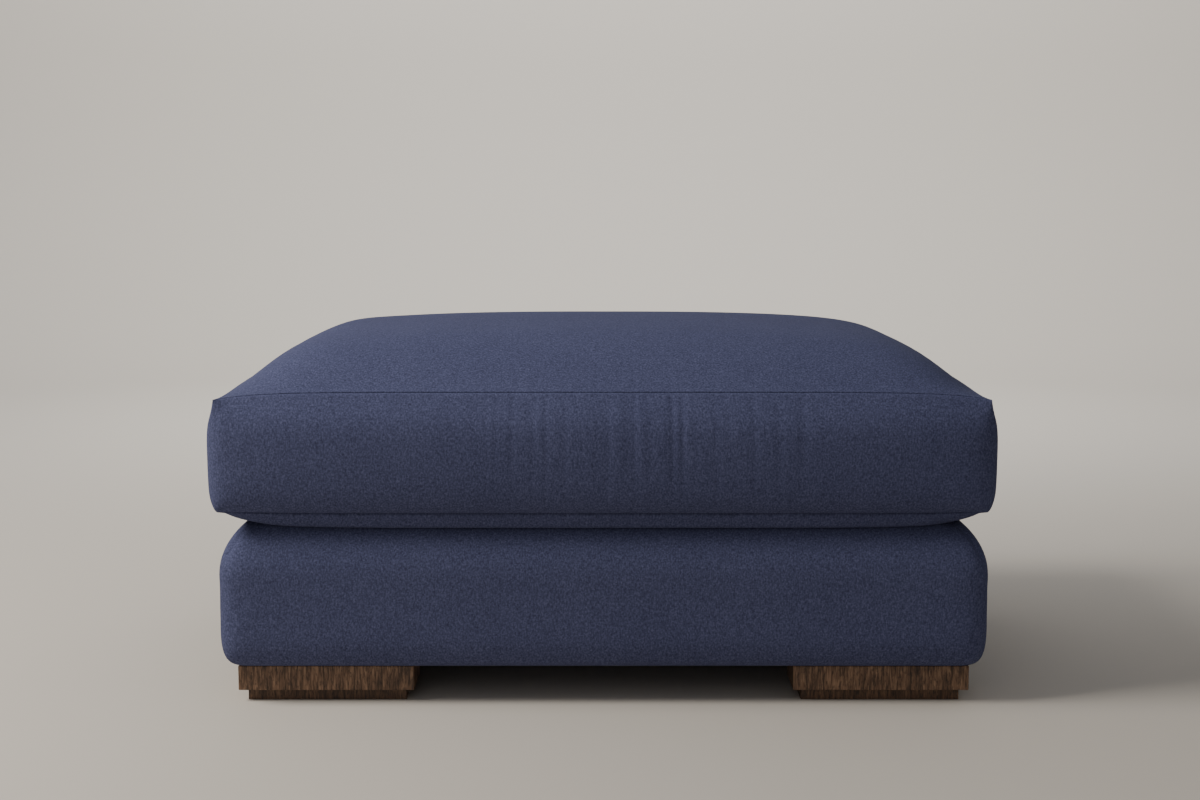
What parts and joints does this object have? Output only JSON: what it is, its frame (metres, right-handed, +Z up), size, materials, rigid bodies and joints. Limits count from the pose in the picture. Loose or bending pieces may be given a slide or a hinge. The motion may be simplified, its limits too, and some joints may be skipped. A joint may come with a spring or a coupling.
{
  "type": "footstool",
  "caption": "Oblong upholstered footstool: a loose, crowned boxed cushion on a soft-edged padded base, raised on low walnut block feet with set-back plinths.",
  "frame": {"origin": "middle of the footprint, on the floor", "axes": "+X along the length, to the right seen from the front; -Y is the front; +Z up"},
  "size_m": [1.0272, 0.7072, 0.4836],
  "materials": {
    "cushion_cloth": "matt navy wool felt, faintly heathered",
    "base_cloth": "matt navy wool felt, faintly heathered",
    "walnut_block": "dark oiled walnut, grain upright on the front face",
    "walnut_plinth": "dark oiled walnut"
  },
  "bodies": {
    "root": {"seat_cushion": "cushion_cloth", "upholstered_base": "base_cloth", "foot_block_front_left": "walnut_block", "foot_block_front_right": "walnut_block", "foot_block_back_left": "walnut_block", "foot_block_back_right": "walnut_block", "foot_plinth_front_left": "walnut_plinth", "foot_plinth_front_right": "walnut_plinth", "foot_plinth_back_left": "walnut_plinth", "foot_plinth_back_right": "walnut_plinth"}
  },
  "joints": []
}
